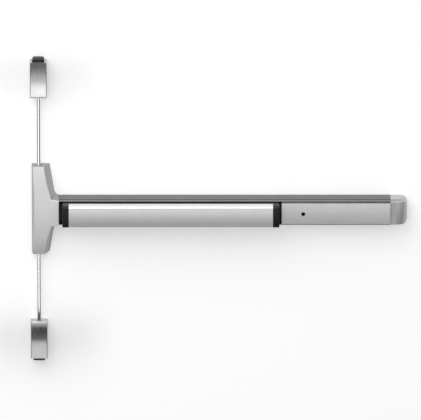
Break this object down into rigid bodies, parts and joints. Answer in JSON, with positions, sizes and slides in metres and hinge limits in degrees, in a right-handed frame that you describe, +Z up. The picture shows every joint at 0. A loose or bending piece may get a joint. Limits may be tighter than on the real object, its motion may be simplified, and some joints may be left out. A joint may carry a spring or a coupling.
{
  "type": "panic exit bar",
  "caption": "Door-wide panic bar: pressing the pad draws the vertical rods' latch bolts in above and below a T-shaped lock housing.",
  "frame": {"origin": "centre of the chassis fixing holes on the door face, on the vertical rods' axis", "axes": "+X along the bar away from the rods, +Y into the door, +Z up"},
  "size_m": [0.8285, 0.071, 0.708],
  "materials": {
    "satin_aluminium": "satin",
    "satin_steel_skin": "brushed",
    "chrome_rod": "satin",
    "zinc_steel": "satin",
    "black_plastic": "matte",
    "grey_casting": "satin",
    "latch_paint": "satin",
    "dark_bolt": "satin",
    "spring_steel": "satin"
  },
  "bodies": {
    "door_side": {"chassis_plate": "zinc_steel", "chassis_cover": "satin_steel_skin", "cover_screws": "zinc_steel", "crank_pivot_pins": "zinc_steel", "crank_clips": "spring_steel", "slide_guide_screws": "zinc_steel", "rail": "satin_aluminium", "rail_screws": "zinc_steel", "rail_filler": "satin_steel_skin", "end_cap": "grey_casting", "end_bracket": "zinc_steel", "end_cap_screws": "zinc_steel", "rocker_bracket_left": "zinc_steel", "rocker_bracket_right": "zinc_steel", "bracket_screws": "zinc_steel", "rocker_pivot_pins": "zinc_steel", "dogging_housing": "zinc_steel", "spring_anchor": "zinc_steel", "top_latch_base": "zinc_steel", "top_latch_cover": "latch_paint", "bottom_latch_base": "zinc_steel", "bottom_latch_cover": "latch_paint", "latch_cover_screws": "zinc_steel", "return_spring": "spring_steel", "top_latch_spring": "spring_steel", "bottom_latch_spring": "spring_steel"},
    "pad": {"push_pad": "satin_steel_skin", "pad_cap_left": "black_plastic", "pad_cap_right": "black_plastic", "pad_bracket_left": "zinc_steel", "pad_bracket_right": "zinc_steel"},
    "left_rocker": {"rocker_left": "zinc_steel", "rocker_left_pins": "zinc_steel"},
    "right_rocker": {"rocker_right": "zinc_steel", "rocker_right_pins": "zinc_steel"},
    "link": {"drive_link": "zinc_steel", "slide_plate": "zinc_steel", "link_joint_pin": "zinc_steel", "spring_collar": "zinc_steel"},
    "upper_crank": {"top_crank": "zinc_steel", "top_crank_pins": "zinc_steel"},
    "lower_crank": {"bottom_crank": "zinc_steel", "bottom_crank_pins": "zinc_steel"},
    "upper_rod": {"top_rod": "chrome_rod", "top_rod_connector": "zinc_steel", "top_rod_locknut": "zinc_steel", "top_bolt": "dark_bolt"},
    "lower_rod": {"bottom_rod": "chrome_rod", "bottom_rod_connector": "zinc_steel", "bottom_rod_locknut": "zinc_steel", "bottom_bolt": "dark_bolt"},
    "dogging": {"dogging_shaft": "dark_bolt", "dogging_hook": "zinc_steel"}
  },
  "joints": [
    {"name": "pad_press", "type": "slide", "parent": "door_side", "child": "pad", "axis": [0, 1, 0], "range_m": [0, 0.018], "stiffness_N_per_m": 400, "springref_m": -0.03},
    {"name": "rocker_left_turn", "type": "hinge", "parent": "door_side", "child": "left_rocker", "pos_m": [0.15, -0.026, 0], "axis": [0, 0, 1], "range_deg": [-41, 0.5]},
    {"name": "rocker_right_turn", "type": "hinge", "parent": "door_side", "child": "right_rocker", "pos_m": [0.43, -0.026, 0], "axis": [0, 0, 1], "range_deg": [-41, 0.5]},
    {"name": "link_slide", "type": "slide", "parent": "door_side", "child": "link", "axis": [1, 0, 0], "range_m": [-0.0002, 0.0112], "deforming": ["return_spring"]},
    {"name": "top_crank_turn", "type": "hinge", "parent": "door_side", "child": "upper_crank", "pos_m": [0.024, -0.013, 0.03], "axis": [0, 1, 0], "range_deg": [-32.4, 0.4]},
    {"name": "bottom_crank_turn", "type": "hinge", "parent": "door_side", "child": "lower_crank", "pos_m": [0.024, -0.013, -0.03], "axis": [0, 1, 0], "range_deg": [-0.4, 32.4]},
    {"name": "top_rod_slide", "type": "slide", "parent": "door_side", "child": "upper_rod", "axis": [0, 0, 1], "range_m": [-0.0134, 0.0002], "deforming": ["top_latch_spring"]},
    {"name": "bottom_rod_slide", "type": "slide", "parent": "door_side", "child": "lower_rod", "axis": [0, 0, 1], "range_m": [-0.0002, 0.0134], "deforming": ["bottom_latch_spring"]},
    {"name": "dogging_turn", "type": "hinge", "parent": "door_side", "child": "dogging", "pos_m": [0.582, -0.02, 0], "axis": [0, 1, 0], "range_deg": [0, 90]}
  ],
  "couplings": [
    {"joint": "rocker_left_turn", "follows": "pad_press", "rad_per_m": -39.274},
    {"joint": "rocker_right_turn", "follows": "pad_press", "rad_per_m": -39.274},
    {"joint": "link_slide", "follows": "pad_press", "ratio": 0.61111},
    {"joint": "top_crank_turn", "follows": "pad_press", "rad_per_m": -30.954},
    {"joint": "bottom_crank_turn", "follows": "pad_press", "rad_per_m": 30.954},
    {"joint": "top_rod_slide", "follows": "pad_press", "ratio": -0.73333},
    {"joint": "bottom_rod_slide", "follows": "pad_press", "ratio": 0.73333}
  ]
}
